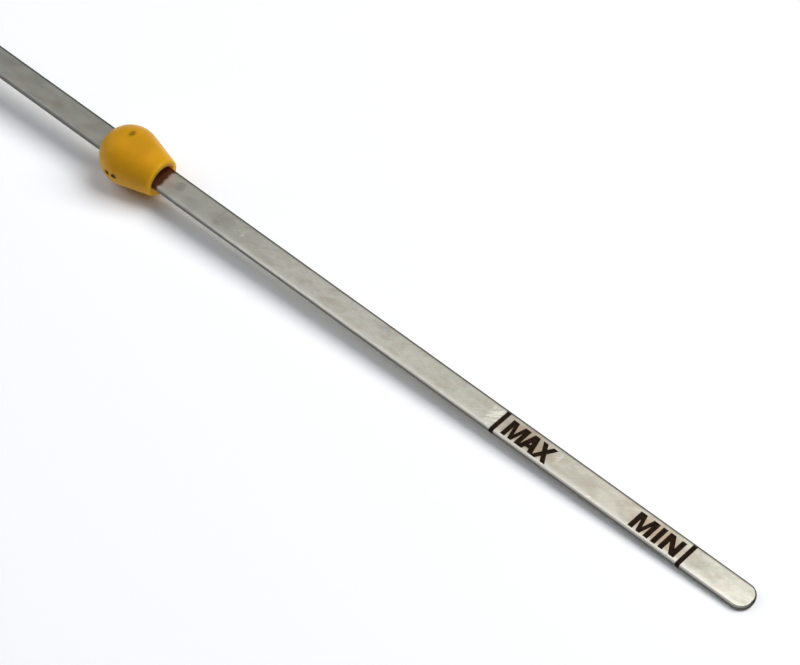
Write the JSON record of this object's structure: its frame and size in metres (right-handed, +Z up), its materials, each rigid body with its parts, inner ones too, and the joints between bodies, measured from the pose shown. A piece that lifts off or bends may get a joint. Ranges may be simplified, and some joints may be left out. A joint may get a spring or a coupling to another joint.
{
  "type": "engine oil dipstick",
  "caption": "Flat steel gauge blade with a domed and tapered guide bead, a finger-ring pull handle with stop collar and a sealed spigot, for reading oil level in a tube.",
  "frame": {"origin": "on the resting surface, under the middle of the stick's length", "axes": "+X along the stick towards the blade's tip, +Z up from the surface that the stick lies on"},
  "size_m": [0.3206, 0.026, 0.0218],
  "materials": {
    "blade_steel": "satin rolled steel strip",
    "bead_plastic": "satin moulded plastic",
    "handle_plastic": "satin moulded plastic",
    "seal_rubber": "moulded nitrile rubber"
  },
  "bodies": {
    "root": {"gauge_blade": "blade_steel", "guide_bead": "bead_plastic", "pull_handle": "handle_plastic", "seal_ring": "seal_rubber"}
  },
  "joints": []
}
